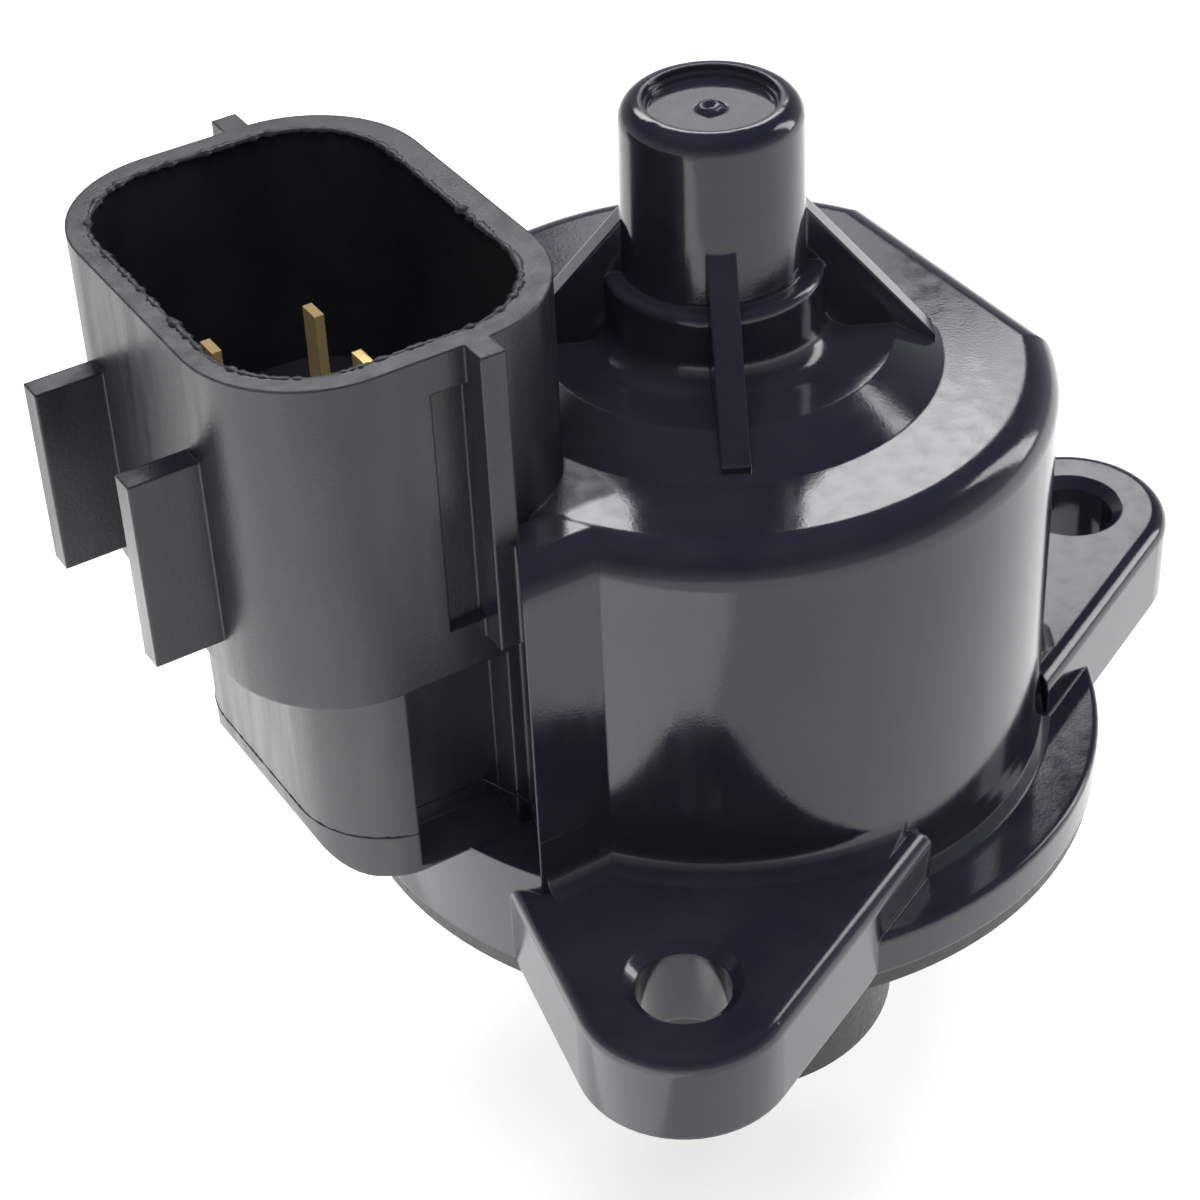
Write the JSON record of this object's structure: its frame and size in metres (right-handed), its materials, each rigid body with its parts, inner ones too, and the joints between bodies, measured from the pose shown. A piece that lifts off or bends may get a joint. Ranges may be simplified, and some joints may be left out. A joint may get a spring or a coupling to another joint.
{
  "type": "idle air control valve",
  "caption": "Black moulded stepper air valve with a tower, a tall connector socket, two bolt ears and a spigot with a sliding pintle.",
  "frame": {"origin": "on the motor axis, in the plane of the base plate's underside, which is the mounting face", "axes": "+Z along the motor axis from the spigot to the tower, +X from the connector socket through the motor axis to the ear beside the flat side, -Y towards the other ear"},
  "size_m": [0.0704, 0.0516, 0.0691],
  "materials": {
    "housing_plastic": "glossy black moulded plastic, satin on the socket",
    "base_plastic": "black moulded plastic",
    "seal_rubber": "black rubber",
    "pressed_steel": "pressed steel",
    "bobbin_plastic": "natural moulded plastic",
    "copper_winding": "enamelled copper wire",
    "magnet_ferrite": "ground ferrite",
    "bearing_steel": "ground steel",
    "bearing_bronze": "sintered bronze",
    "screw_steel": "turned steel",
    "pintle_plastic": "turned heat-resistant plastic",
    "spring_steel": "drawn spring wire",
    "terminal_gold": "gold plated"
  },
  "bodies": {
    "valve_body": {"housing": "housing_plastic", "base_plate": "base_plastic", "seal_ring": "seal_rubber", "lower_outer_cup": "pressed_steel", "lower_inner_plate": "pressed_steel", "upper_inner_plate": "pressed_steel", "upper_outer_cup": "pressed_steel", "lower_bobbin": "bobbin_plastic", "upper_bobbin": "bobbin_plastic", "lower_winding": "copper_winding", "upper_winding": "copper_winding", "bearing_outer_race": "bearing_steel", "bearing_balls": "bearing_steel", "bearing_cage": "bearing_bronze", "rear_bush": "bearing_bronze", "thrust_washer": "pressed_steel", "guide_bush": "bearing_bronze", "return_spring": "spring_steel", "terminal_1": "terminal_gold", "terminal_2": "terminal_gold", "terminal_3": "terminal_gold", "terminal_4": "terminal_gold", "terminal_5": "terminal_gold", "terminal_6": "terminal_gold"},
    "rotor": {"rotor_magnet": "magnet_ferrite", "rotor_hub": "bobbin_plastic", "bearing_inner_race": "bearing_steel"},
    "pintle_body": {"lead_screw": "screw_steel", "pintle": "pintle_plastic"}
  },
  "joints": [
    {"name": "rotor_turn", "type": "hinge", "parent": "valve_body", "child": "rotor", "pos_m": [0, 0, 0], "axis": [0, 0, 1], "range_deg": [0, 1800]},
    {"name": "pintle_slide", "type": "slide", "parent": "valve_body", "child": "pintle_body", "axis": [0, 0, -1], "range_m": [0, 0.008], "deforming": ["return_spring"]}
  ],
  "couplings": [
    {"joint": "pintle_slide", "follows": "rotor_turn", "m_per_rad": 0.00025464}
  ]
}
